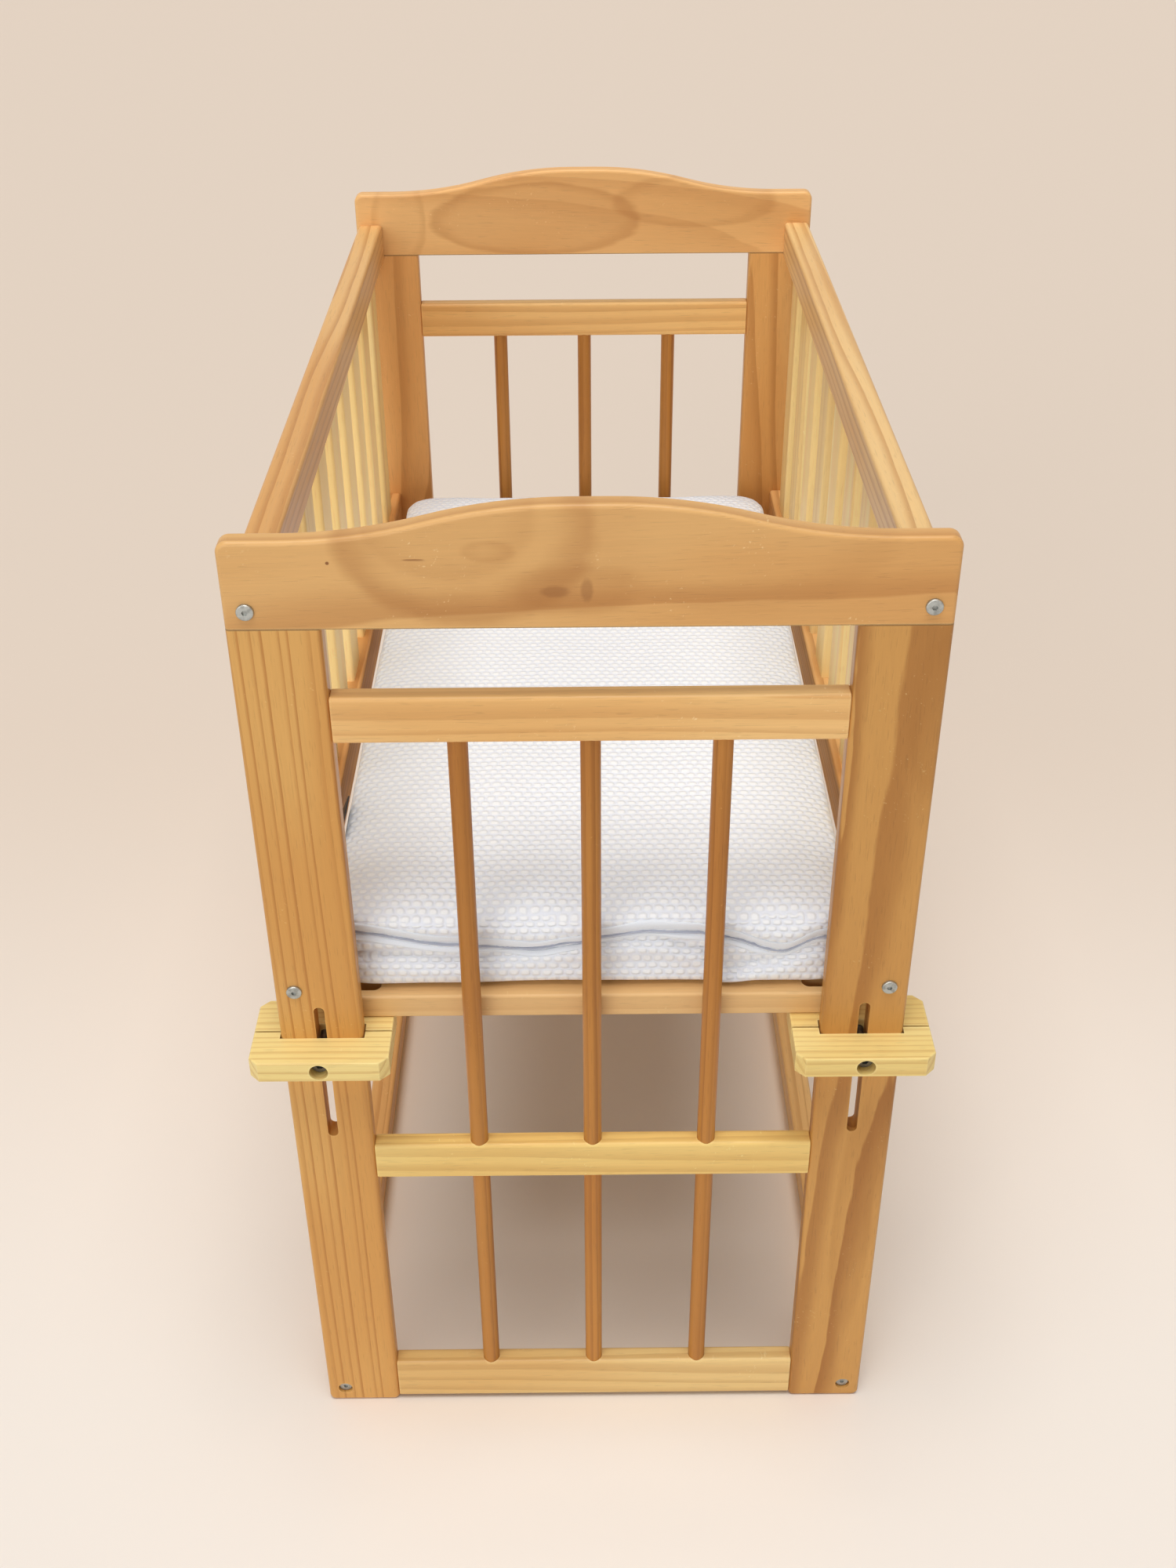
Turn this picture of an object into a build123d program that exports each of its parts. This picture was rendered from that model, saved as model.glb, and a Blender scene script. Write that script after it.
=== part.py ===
from build123d import *
import math
import os

# Co-sleeping cradle. Millimetres, +Z up, origin on the floor under the middle of the cradle.
# The front end faces -Y, left is -X and right is +X.

# Overall sizes
frame_width = 530.0
cradle_length = 945.0
board_thick = 18.0
fit = 0.15
edge_round = 3.5
small_round = 1.2

# Posts and their long slots
post_width = 70.0
post_height = 875.0
post_foot_radius = 6.0
slot_width = 9.0
slot_length = 149.0
slot_top_drop = 8.0

# Arched headboards
shoulder_height = 69.5
crown_height = 96.0
crown_half_flat = 14.0
shoulder_start = 222.0
headboard_corner = 9.0

# Cross rails and spindles of an end frame
rail_height = 40.0
upper_rail_drop = 58.5
middle_rail_drop = 14.0
bottom_rail_height = 50.0
bottom_rail_lift = 5.0
spindle_diameter = 16.0
spindle_count = 3
spindle_seat = 2.0
tenon_diameter = 10.0
tenon_length = 12.0

# Side panels and floor stretchers
side_rail_thick = 27.0
side_rail_inset = 3.0
top_rail_height = 40.0
top_rail_lift = 35.0
side_rail_height = 50.0
panel_height = 386.0
slat_width = 50.0
slat_thick = 12.0
slat_count = 9
slat_round = 3.0
mortise_depth = 10.0
stretcher_height = 35.0

# Wooden joint pins
pin_diameter = 8.0
pin_length = 40.0
pin_chamfer = 0.8
pin_end_gap = 0.5
rail_pin_spread = 20.0
post_pin_first = 12.0
post_pin_spread = 22.0

# Frame bolts and their barrel nuts
bolt_diameter = 6.0
bolt_length = 55.0
bolt_hole = 6.4
bolt_tip_room = 3.0
bolt_head_diameter = 13.0
bolt_head_height = 2.6
bolt_head_round = 1.0
bolt_socket = 4.0
bolt_socket_depth = 1.8
foot_recess_diameter = 14.0
foot_recess_depth = 5.0
side_bolt_lift = 10.0
barrel_diameter = 10.0
barrel_length = 14.0
barrel_setback = 30.0
barrel_slot_width = 1.4
barrel_slot_depth = 1.2

# Sliding height clamps
clamp_length = 118.0
clamp_depth = 40.0
clamp_height = 20.0
clamp_notch = 8.0
notch_clearance = 1.0
clamp_corner = 8.0
clamp_drop = 34.0
clamp_bore_diameter = 16.0
clamp_bore_depth = 18.0
clamp_bolt_diameter = 8.0
clamp_bolt_length = 60.0
clamp_bolt_hole = 8.6
cap_head_diameter = 13.0
cap_head_height = 8.0
cap_socket = 6.0
cap_socket_depth = 4.0
washer_diameter = 15.4
washer_thick = 1.6
nut_across_flats = 13.0
nut_height = 6.5

# Mattress base
base_side_gap = 4.0
base_end_gap = 8.0
base_rail_thick = 23.0
base_rail_width = 60.0
base_round = 2.5
base_corner = 5.0
finger_slot_length = 40.0
finger_slot_width = 14.0
finger_slot_setback = 16.0
finger_slot_inset = 29.5
base_slat_thick = 8.0
base_slat_width = 60.0
base_slat_count = 8
base_side_width = 40.0
screw_diameter = 3.5
screw_head_diameter = 7.0
screw_length = 20.0

# Mattress
mattress_side_gap = 4.0
mattress_end_gap = 13.5
mattress_thick = 80.0
mattress_crown = 6.0
mattress_draw = 2.5
mattress_corner = 34.0
mattress_edge_round = 12.0
mattress_clearance = 0.3
zip_height = 64.0
zip_channel_width = 5.0
zip_channel_depth = 1.6

# Heights worked out downwards from the tops of the posts
top_rail_top = post_height + top_rail_lift
side_rail_bottom = top_rail_top - panel_height
upper_rail_top = post_height - upper_rail_drop
slot_top = side_rail_bottom - slot_top_drop
slot_bottom = slot_top - slot_length
middle_rail_top = slot_bottom - middle_rail_drop
clamp_top = slot_top - clamp_drop

# Places worked out from the sizes
half_width = frame_width / 2
half_length = cradle_length / 2
inner_length = cradle_length - 2 * board_thick
inner_end = inner_length / 2
post_x = half_width - post_width / 2
post_inner_x = half_width - post_width
rail_length = 2 * post_inner_x
board_mid_y = half_length - board_thick / 2
side_outer_x = half_width - side_rail_inset
side_inner_x = side_outer_x - side_rail_thick
side_x = side_outer_x - side_rail_thick / 2
pin_hole = pin_diameter + fit
pin_hole_depth = pin_length / 2 + pin_end_gap
bolt_reach = bolt_length - board_thick + bolt_tip_room
ends = {"front": -1, "rear": 1}
sides = {"left": -1, "right": 1}


def save(piece, name):
    piece.part.label = name
    export_step(piece.part, f"parts/{name}.step")


def upright(y):
    """The upright plane at y that faces the front, with X to the right and Z upwards."""
    return Plane(origin=(0, y, 0), x_dir=(1, 0, 0), z_dir=(0, -1, 0))


def circles(plane, points, diameter):
    with BuildSketch(plane) as spots:
        with Locations(*points):
            Circle(diameter / 2)
    return spots.sketch


def rims(piece, axis):
    """Every edge of the first and last faces across an axis."""
    ranked = piece.faces().sort_by(axis)
    return ranked[0].edges() + ranked[-1].edges()


os.makedirs("parts", exist_ok=True)

# Headboards: level shoulders, an S-curve on each side and a broad crown
top_bolt_z = top_rail_top - top_rail_height / 2
arch_foot = (shoulder_start, post_height + shoulder_height)
arch_crown = (crown_half_flat, post_height + crown_height)
arch_middle = ((arch_foot[0] + arch_crown[0]) / 2, (arch_foot[1] + arch_crown[1]) / 2)
shoulder_point = (half_width, arch_foot[1])
post_pin_xs = [
    s * (post_inner_x + post_pin_first + n * post_pin_spread) for s in sides.values() for n in range(2)
]

for end, facing in ends.items():
    near_face = facing * board_mid_y - board_thick / 2
    with BuildPart() as headboard:
        with BuildSketch(upright(near_face)) as face:
            with BuildLine() as outline:
                Line((0, post_height), (half_width, post_height))
                Line((half_width, post_height), shoulder_point)
                Line(shoulder_point, arch_foot)
                concave = TangentArc(arch_foot, arch_middle, tangent=(-1, 0))
                TangentArc(arch_middle, arch_crown, tangent=concave % 1)
                Line(arch_crown, (0, arch_crown[1]))
                mirror(outline.line, about=Plane.YZ)
            make_face()
            fillet([v for v in face.vertices() if (abs(v.X), v.Y) == shoulder_point], headboard_corner)
        extrude(amount=-board_thick)
        fillet([e for e in rims(headboard, Axis.Y) if e.center().Z > post_height + fit], edge_round)
        bolt_spots = [(s * side_x, top_bolt_z) for s in sides.values()]
        bolt_holes = circles(upright(near_face), bolt_spots, bolt_hole)
        extrude(bolt_holes, amount=-board_thick, mode=Mode.SUBTRACT)
        pin_spots = [(x, facing * board_mid_y) for x in post_pin_xs]
        pin_holes = circles(Plane.XY.offset(post_height), pin_spots, pin_hole)
        extrude(pin_holes, amount=pin_hole_depth, mode=Mode.SUBTRACT)
    save(headboard, f"{end}_headboard")

# Cross rails: the heights of their lower edges
rail_bottoms = {
    "upper": upper_rail_top - rail_height,
    "middle": middle_rail_top - rail_height,
    "bottom": bottom_rail_lift,
}
rail_heights = {"upper": rail_height, "middle": rail_height, "bottom": bottom_rail_height}
rail_pin_zs = [
    rail_bottoms[level] + rail_heights[level] / 2 + n * rail_pin_spread / 2
    for level in rail_bottoms
    for n in (-1, 1)
]

# Posts: single boards from the headboard to the floor, each with a long slot
middle_bolt_z = side_rail_bottom + side_bolt_lift
floor_bolt_z = stretcher_height / 2

for end, facing in ends.items():
    near_face = facing * board_mid_y - board_thick / 2
    for side, s in sides.items():
        with BuildPart() as post:
            with BuildSketch(upright(near_face)) as face:
                with Locations((s * post_x, post_height / 2)):
                    Rectangle(post_width, post_height)
                fillet(face.vertices().group_by(Axis.Y)[0], post_foot_radius)
            extrude(amount=-board_thick)
            fillet([e for e in rims(post, Axis.Y) if e.center().Z < post_height - fit], edge_round)
            with BuildSketch(upright(near_face)):
                with Locations((s * post_x, (slot_bottom + slot_top) / 2)):
                    SlotOverall(slot_top - slot_bottom, slot_width, rotation=90)
            extrude(amount=-board_thick, mode=Mode.SUBTRACT)
            bolt_spots = [(s * side_x, middle_bolt_z), (s * side_x, floor_bolt_z)]
            bolt_holes = circles(upright(near_face), bolt_spots, bolt_hole)
            extrude(bolt_holes, amount=-board_thick, mode=Mode.SUBTRACT)
            recess = circles(upright(facing * half_length), bolt_spots[1:], foot_recess_diameter)
            extrude(recess, amount=facing * foot_recess_depth, mode=Mode.SUBTRACT)
            pin_spots = [(x, facing * board_mid_y) for x in post_pin_xs if x * s > 0]
            pin_holes = circles(Plane.XY.offset(post_height), pin_spots, pin_hole)
            extrude(pin_holes, amount=-pin_hole_depth, mode=Mode.SUBTRACT)
            rail_pin_spots = [(facing * board_mid_y, z) for z in rail_pin_zs]
            rail_pin_holes = circles(Plane.YZ.offset(s * post_inner_x), rail_pin_spots, pin_hole)
            extrude(rail_pin_holes, amount=s * pin_hole_depth, mode=Mode.SUBTRACT)
        save(post, f"{end}_{side}_post")

# Cross rails, bored for the spindles above and below them
spindle_pitch = (rail_length + spindle_diameter) / (spindle_count + 1)
spindle_xs = [(n - (spindle_count - 1) / 2) * spindle_pitch for n in range(spindle_count)]
spindle_faces = {
    "upper": [(rail_bottoms["upper"], 1)],
    "middle": [(rail_bottoms["middle"], 1), (middle_rail_top, -1)],
    "bottom": [(bottom_rail_lift + bottom_rail_height, -1)],
}

for end, facing in ends.items():
    for level, bottom in rail_bottoms.items():
        height = rail_heights[level]
        with BuildPart() as rail:
            with BuildSketch(Plane.YZ.offset(-post_inner_x)):
                with Locations((facing * board_mid_y, bottom + height / 2)):
                    Rectangle(board_thick, height)
            extrude(amount=rail_length)
            fillet(rail.edges().filter_by(Axis.X), edge_round)
            fillet(rims(rail, Axis.X), small_round)
            spindle_spots = [(x, facing * board_mid_y) for x in spindle_xs]
            for z, way in spindle_faces[level]:
                seats = circles(Plane.XY.offset(z), spindle_spots, spindle_diameter + fit)
                extrude(seats, amount=way * spindle_seat, mode=Mode.SUBTRACT)
                tenon_holes = circles(Plane.XY.offset(z), spindle_spots, tenon_diameter + fit)
                tenon_room = spindle_seat + tenon_length + pin_end_gap
                extrude(tenon_holes, amount=way * tenon_room, mode=Mode.SUBTRACT)
            for s in sides.values():
                pin_spots = [
                    (facing * board_mid_y, bottom + height / 2 + n * rail_pin_spread / 2) for n in (-1, 1)
                ]
                pin_holes = circles(Plane.YZ.offset(s * post_inner_x), pin_spots, pin_hole)
                extrude(pin_holes, amount=-s * pin_hole_depth, mode=Mode.SUBTRACT)
        save(rail, f"{end}_{level}_rail")

# Spindles: round bars with a thinner tenon at each end
spindle_spans = {
    "upper": (middle_rail_top - spindle_seat, rail_bottoms["upper"] + spindle_seat),
    "lower": (
        bottom_rail_lift + bottom_rail_height - spindle_seat,
        rail_bottoms["middle"] + spindle_seat,
    ),
}

for end, facing in ends.items():
    for level, (low, high) in spindle_spans.items():
        with BuildPart() as spindles:
            spindle_spots = [(x, facing * board_mid_y) for x in spindle_xs]
            extrude(circles(Plane.XY.offset(low), spindle_spots, spindle_diameter), amount=high - low)
            tenons = circles(Plane.XY.offset(low - tenon_length), spindle_spots, tenon_diameter)
            extrude(tenons, amount=high - low + 2 * tenon_length)
        save(spindles, f"{end}_{level}_spindles")

# Side panel rails and floor stretchers, bored at both ends for a bolt and its barrel nut
top_rail_bottom = top_rail_top - top_rail_height
side_rail_top = side_rail_bottom + side_rail_height
slat_pitch = (inner_length + slat_width) / (slat_count + 1)
long_rails = {
    "top_rail": {
        "bottom": top_rail_bottom,
        "height": top_rail_height,
        "bolt": top_bolt_z,
        "sunk": 0.0,
    },
    "bottom_rail": {
        "bottom": side_rail_bottom,
        "height": side_rail_height,
        "bolt": middle_bolt_z,
        "sunk": 0.0,
    },
    "floor_stretcher": {
        "bottom": 0.0,
        "height": stretcher_height,
        "bolt": floor_bolt_z,
        "sunk": foot_recess_depth,
    },
}
mortise_faces = {"top_rail": (top_rail_bottom, 1), "bottom_rail": (side_rail_top, -1)}

for side, s in sides.items():
    for name, sizes in long_rails.items():
        bottom = sizes["bottom"]
        height = sizes["height"]
        bolt_z = sizes["bolt"]
        with BuildPart() as long_rail:
            with BuildSketch(upright(-inner_end)):
                with Locations((s * side_x, bottom + height / 2)):
                    Rectangle(side_rail_thick, height)
            extrude(amount=-inner_length)
            fillet(long_rail.edges().filter_by(Axis.Y), edge_round)
            fillet(rims(long_rail, Axis.Y), small_round)
            if name in mortise_faces:
                mortise_z, way = mortise_faces[name]
                with BuildSketch(Plane.XY.offset(mortise_z)):
                    with Locations((s * side_x, 0)):
                        with GridLocations(slat_pitch, slat_pitch, 1, slat_count):
                            RectangleRounded(slat_thick + 2 * fit, slat_width + 2 * fit, slat_round + fit)
                extrude(amount=way * mortise_depth, mode=Mode.SUBTRACT)
            for facing in ends.values():
                bolt_bore = circles(upright(facing * inner_end), [(s * side_x, bolt_z)], bolt_hole)
                extrude(bolt_bore, amount=facing * (bolt_reach + sizes["sunk"]), mode=Mode.SUBTRACT)
                barrel_spot = (s * side_x, facing * (inner_end - barrel_setback))
                barrel_bore = circles(Plane.XY.offset(bottom), [barrel_spot], barrel_diameter + fit)
                extrude(barrel_bore, amount=bolt_z - bottom + barrel_length / 2, mode=Mode.SUBTRACT)
        save(long_rail, f"{side}_{name}")

# Slats of the side panels, let into the rails
for side, s in sides.items():
    with BuildPart() as slats:
        with BuildSketch(Plane.XY.offset(side_rail_top - mortise_depth + fit)):
            with Locations((s * side_x, 0)):
                with GridLocations(slat_pitch, slat_pitch, 1, slat_count):
                    RectangleRounded(slat_thick, slat_width, slat_round)
        extrude(amount=top_rail_bottom - side_rail_top + 2 * (mortise_depth - fit))
    save(slats, f"{side}_slats")

# Wooden pins that join the headboards and rails to the posts
with BuildPart() as pin:
    Cylinder(pin_diameter / 2, pin_length)
    chamfer(pin.edges().filter_by(GeomType.CIRCLE), pin_chamfer)

for end, facing in ends.items():
    y = facing * board_mid_y
    with BuildPart() as joint_pins:
        with Locations(*[(x, y, post_height) for x in post_pin_xs]):
            add(pin.part)
        rail_joints = [(s * post_inner_x, y, z) for s in sides.values() for z in rail_pin_zs]
        with Locations(*[Location(spot, (0, 90, 0)) for spot in rail_joints]):
            add(pin.part)
    save(joint_pins, f"{end}_joint_pins")

# Frame bolts: a low round head with a hex socket
with BuildPart() as bolt:
    with BuildSketch():
        Circle(bolt_head_diameter / 2)
    extrude(amount=bolt_head_height)
    fillet(bolt.edges().sort_by(Axis.Z)[-1], bolt_head_round)
    with BuildSketch(Plane.XY.offset(bolt_head_height)):
        RegularPolygon(bolt_socket / 2, 6, major_radius=False)
    extrude(amount=-bolt_socket_depth, mode=Mode.SUBTRACT)
    with BuildSketch():
        Circle(bolt_diameter / 2)
    extrude(amount=-bolt_length)

# Barrel nuts: a cross bore for the bolt and a slot to turn them by
with BuildPart() as barrel_nut:
    Cylinder(barrel_diameter / 2, barrel_length)
    Cylinder(bolt_diameter / 2 + fit / 2, barrel_diameter, rotation=(90, 0, 0), mode=Mode.SUBTRACT)
    with BuildSketch(Plane.XY.offset(-barrel_length / 2)):
        Rectangle(barrel_slot_width, barrel_diameter)
    extrude(amount=barrel_slot_depth, mode=Mode.SUBTRACT)

bolt_seats = [(sizes["bolt"], sizes["sunk"]) for sizes in long_rails.values()]

for end, facing in ends.items():
    head_planes = [
        Plane(origin=(s * side_x, facing * (half_length - sunk), z), x_dir=(1, 0, 0), z_dir=(0, facing, 0))
        for s in sides.values()
        for z, sunk in bolt_seats
    ]
    with BuildPart() as frame_bolts:
        with Locations(*head_planes):
            add(bolt.part)
    save(frame_bolts, f"{end}_frame_bolts")
    nut_y = facing * (inner_end - barrel_setback)
    with BuildPart() as barrel_nuts:
        with Locations(*[(s * side_x, nut_y, z) for s in sides.values() for z, sunk in bolt_seats]):
            add(barrel_nut.part)
    save(barrel_nuts, f"{end}_barrel_nuts")

# Height clamps: two notched blocks hold a post between them, drawn together through its slot
clamp_z = clamp_top - clamp_height / 2
clamp_blocks = {
    "outer_clamp": {"post_face": half_length, "way": 1},
    "inner_clamp": {"post_face": inner_end, "way": -1},
}

for end, facing in ends.items():
    for side, s in sides.items():
        for name, block_sizes in clamp_blocks.items():
            outward = facing * block_sizes["way"]
            post_face = facing * block_sizes["post_face"]
            block_y = post_face + outward * (clamp_depth / 2 - clamp_notch)
            far_y = post_face + outward * (clamp_depth - clamp_notch)
            with BuildPart() as block:
                with BuildSketch(Plane.XY.offset(clamp_top - clamp_height)) as plan:
                    with Locations((s * post_x, block_y)):
                        Rectangle(clamp_length, clamp_depth)
                    chamfer(plan.vertices().group_by(Axis.Y)[0 if outward < 0 else -1], clamp_corner)
                    with Locations((s * post_x, post_face - outward * clamp_notch / 2)):
                        Rectangle(post_width + 2 * notch_clearance, clamp_notch, mode=Mode.SUBTRACT)
                extrude(amount=clamp_height)
                outline = [e for e in rims(block, Axis.Z) if outward * (e.center().Y - post_face) > fit]
                fillet(outline, small_round)
                spot = [(s * post_x, clamp_z)]
                bore = circles(upright(far_y), spot, clamp_bore_diameter)
                extrude(bore, amount=outward * clamp_bore_depth, mode=Mode.SUBTRACT)
                bolt_way = circles(upright(far_y), spot, clamp_bolt_hole)
                extrude(bolt_way, amount=outward * clamp_depth, mode=Mode.SUBTRACT)
            save(block, f"{end}_{side}_{name}")

# Clamp bolts, nuts and washers, made along Z and then laid along the clamp's axis
outer_seat = clamp_depth - clamp_notch - clamp_bore_depth
with BuildPart() as clamp_bolt:
    with BuildSketch(Plane.XY.offset(outer_seat + washer_thick)):
        Circle(cap_head_diameter / 2)
    extrude(amount=cap_head_height)
    with BuildSketch(Plane.XY.offset(outer_seat + washer_thick + cap_head_height)):
        RegularPolygon(cap_socket / 2, 6, major_radius=False)
    extrude(amount=-cap_socket_depth, mode=Mode.SUBTRACT)
    with BuildSketch(Plane.XY.offset(outer_seat + washer_thick)):
        Circle(clamp_bolt_diameter / 2)
    extrude(amount=-clamp_bolt_length)

inner_seat = -board_thick - outer_seat
with BuildPart() as clamp_nut:
    with BuildSketch(Plane.XY.offset(inner_seat - washer_thick)):
        RegularPolygon(nut_across_flats / 2, 6, major_radius=False)
        Circle(clamp_bolt_diameter / 2 + fit / 2, mode=Mode.SUBTRACT)
    extrude(amount=-nut_height)

with BuildPart() as clamp_washers:
    for washer_base in (outer_seat, inner_seat - washer_thick):
        with BuildSketch(Plane.XY.offset(washer_base)):
            Circle(washer_diameter / 2)
            Circle(clamp_bolt_hole / 2, mode=Mode.SUBTRACT)
        extrude(amount=washer_thick)

clamp_hardware = {"clamp_bolt": clamp_bolt, "clamp_nut": clamp_nut, "clamp_washers": clamp_washers}

for end, facing in ends.items():
    for side, s in sides.items():
        slot_face = (s * post_x, facing * half_length, clamp_z)
        axis = Plane(origin=slot_face, x_dir=(1, 0, 0), z_dir=(0, facing, 0))
        for name, hardware in clamp_hardware.items():
            with BuildPart() as placed:
                with Locations(axis):
                    add(hardware.part)
            save(placed, f"{end}_{side}_{name}")

# Mattress base: two cross rails that rest on the inner clamps, with slats between them
base_half_width = side_inner_x - base_side_gap
base_half_length = inner_end - base_end_gap
base_bottom = clamp_top
base_top = base_bottom + base_rail_thick
base_slat_bottom = base_top - base_slat_thick
base_side_thick = base_rail_thick - base_slat_thick
base_inner_end = base_half_length - base_rail_width
base_side_length = 2 * base_inner_end
base_side_x = base_half_width - base_side_width / 2
base_pin_z = base_bottom + base_side_thick / 2
base_pin_xs = [s * (base_side_x + n * base_side_width / 4) for s in sides.values() for n in (-1, 1)]
base_slat_pitch = (base_side_length + base_slat_width) / (base_slat_count + 1)

for end, facing in ends.items():
    with BuildPart() as base_rail:
        with BuildSketch(Plane.XY.offset(base_bottom)):
            with Locations((0, facing * (base_half_length - base_rail_width / 2))):
                Rectangle(2 * base_half_width, base_rail_width)
        extrude(amount=base_rail_thick)
        corners = base_rail.edges().filter_by(Axis.Z)
        fillet([e for e in corners if e.center().Y * facing > base_inner_end + fit], base_corner)
        rounded = [e for e in rims(base_rail, Axis.Z) if e.center().Y * facing > base_inner_end + fit]
        fillet(rounded, base_round)
        with BuildSketch(Plane.XY.offset(base_bottom)):
            slot_x = base_half_width - finger_slot_inset
            slot_y = facing * (base_half_length - finger_slot_setback)
            with Locations(*[(s * slot_x, slot_y) for s in sides.values()]):
                SlotOverall(finger_slot_length, finger_slot_width)
        extrude(amount=base_rail_thick, mode=Mode.SUBTRACT)
        pin_spots = [(x, base_pin_z) for x in base_pin_xs]
        pin_holes = circles(upright(facing * base_inner_end), pin_spots, pin_hole)
        extrude(pin_holes, amount=-facing * pin_hole_depth, mode=Mode.SUBTRACT)
    save(base_rail, f"base_{end}_rail")

screw_head_height = (screw_head_diameter - screw_diameter) / 2
screw_ys = [(n - (base_slat_count - 1) / 2) * base_slat_pitch for n in range(base_slat_count)]

for side, s in sides.items():
    with BuildPart() as base_side:
        with BuildSketch(Plane.XY.offset(base_bottom)):
            with Locations((s * base_side_x, 0)):
                Rectangle(base_side_width, base_side_length)
        extrude(amount=base_side_thick)
        fillet(base_side.edges().filter_by(Axis.Y).group_by(Axis.Z)[0], base_round)
        for facing in ends.values():
            pin_spots = [(x, base_pin_z) for x in base_pin_xs if x * s > 0]
            pin_holes = circles(upright(facing * base_inner_end), pin_spots, pin_hole)
            extrude(pin_holes, amount=facing * pin_hole_depth, mode=Mode.SUBTRACT)
        screw_spots = [(s * base_side_x, y) for y in screw_ys]
        screw_holes = circles(Plane.XY.offset(base_slat_bottom), screw_spots, screw_diameter + fit)
        extrude(screw_holes, amount=base_slat_thick - screw_length - pin_end_gap, mode=Mode.SUBTRACT)
    save(base_side, f"base_{side}_rail")

with BuildPart() as base_slats:
    with BuildSketch(Plane.XY.offset(base_slat_bottom)):
        with GridLocations(base_slat_pitch, base_slat_pitch, 1, base_slat_count):
            Rectangle(2 * base_half_width, base_slat_width)
    extrude(amount=base_slat_thick)
    with Locations(*[(s * base_side_x, y, base_top) for s in sides.values() for y in screw_ys]):
        CounterSinkHole((screw_diameter + fit) / 2, (screw_head_diameter + fit) / 2, counter_sink_angle=90)
save(base_slats, "base_slats")

with BuildPart() as base_pins:
    joints = [(x, facing * base_inner_end, base_pin_z) for x in base_pin_xs for facing in ends.values()]
    with Locations(*[Location(spot, (90, 0, 0)) for spot in joints]):
        add(pin.part)
save(base_pins, "base_joint_pins")

with BuildPart() as screw:
    with BuildSketch(Plane.XZ) as profile:
        with BuildLine():
            Polyline(
                (0, 0),
                (screw_head_diameter / 2, 0),
                (screw_diameter / 2, -screw_head_height),
                (screw_diameter / 2, -screw_length + screw_diameter),
                (0, -screw_length),
                close=True,
            )
        make_face()
    revolve(axis=Axis.Z)

with BuildPart() as base_screws:
    with Locations(*[(s * base_side_x, y, base_top) for s in sides.values() for y in screw_ys]):
        add(screw.part)
save(base_screws, "base_slat_screws")

# Mattress: a crowned cushion with drawn-in sides and a sewn channel where its zip runs
mattress_half_width = side_inner_x - mattress_side_gap
mattress_half_length = inner_end - mattress_end_gap
mattress_bottom = base_top + mattress_clearance
mattress_edge_top = mattress_bottom + mattress_thick - mattress_crown
half_side_height = (mattress_thick - mattress_crown) / 2
draw_at_zip = mattress_draw * (1 - (zip_height / half_side_height - 1) ** 2)
channel_inset = draw_at_zip + zip_channel_depth


def cushion_profile(half_span):
    """Half of the cushion's upright section: a flat bottom, a drawn-in side and a crowned top."""
    with BuildLine() as half:
        Line((0, mattress_bottom), (half_span, mattress_bottom))
        side_middle = (half_span - mattress_draw, (mattress_bottom + mattress_edge_top) / 2)
        ThreePointArc((half_span, mattress_bottom), side_middle, (half_span, mattress_edge_top))
        crown_top = mattress_edge_top + mattress_crown
        crown_radius = (half_span**2 + mattress_crown**2) / (2 * mattress_crown)
        crown_middle_z = crown_top - crown_radius + math.sqrt(crown_radius**2 - half_span**2 / 4)
        ThreePointArc((half_span, mattress_edge_top), (half_span / 2, crown_middle_z), (0, crown_top))
        mirror(half.line, about=Plane.YZ)
    return half.line


with BuildPart() as mattress:
    with BuildSketch(upright(0)):
        add(cushion_profile(mattress_half_width))
        make_face()
    extrude(amount=mattress_half_length, both=True)
    with BuildSketch(Plane.YZ):
        add(cushion_profile(mattress_half_length))
        make_face()
    extrude(amount=mattress_half_width, both=True, mode=Mode.INTERSECT)
    corners = mattress.edges().filter_by(lambda e: e.bounding_box().size.Z > mattress_thick / 2)
    fillet(corners, mattress_corner)
    fillet(rims(mattress, Axis.Z), mattress_edge_round)
    with BuildSketch(Plane.XY.offset(mattress_bottom + zip_height - zip_channel_width / 2)):
        Rectangle(
            2 * (mattress_half_width + zip_channel_depth), 2 * (mattress_half_length + zip_channel_depth)
        )
        RectangleRounded(
            2 * (mattress_half_width - channel_inset),
            2 * (mattress_half_length - channel_inset),
            mattress_corner - channel_inset,
            mode=Mode.SUBTRACT,
        )
    extrude(amount=zip_channel_width, mode=Mode.SUBTRACT)
save(mattress, "mattress")
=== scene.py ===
import math

import bmesh
import bpy
from mathutils import Euler, Matrix, Vector, noise
from mathutils.bvhtree import BVHTree


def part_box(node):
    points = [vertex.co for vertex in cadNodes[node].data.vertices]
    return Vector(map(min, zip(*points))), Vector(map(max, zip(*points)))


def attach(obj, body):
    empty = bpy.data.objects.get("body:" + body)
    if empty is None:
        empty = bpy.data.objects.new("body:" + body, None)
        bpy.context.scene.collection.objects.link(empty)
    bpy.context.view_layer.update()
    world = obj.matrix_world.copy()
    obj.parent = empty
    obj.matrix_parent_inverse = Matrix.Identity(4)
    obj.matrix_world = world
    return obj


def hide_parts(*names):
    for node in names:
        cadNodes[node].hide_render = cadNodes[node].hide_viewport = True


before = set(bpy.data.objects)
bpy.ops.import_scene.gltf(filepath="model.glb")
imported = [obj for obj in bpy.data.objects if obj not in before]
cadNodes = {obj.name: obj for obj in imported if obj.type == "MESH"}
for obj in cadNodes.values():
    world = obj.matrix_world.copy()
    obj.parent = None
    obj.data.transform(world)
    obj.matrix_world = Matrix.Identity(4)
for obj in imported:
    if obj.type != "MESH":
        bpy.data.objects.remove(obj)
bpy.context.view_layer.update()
print("frame loaded:", len(cadNodes), "nodes")


# small helpers for shader trees

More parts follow.
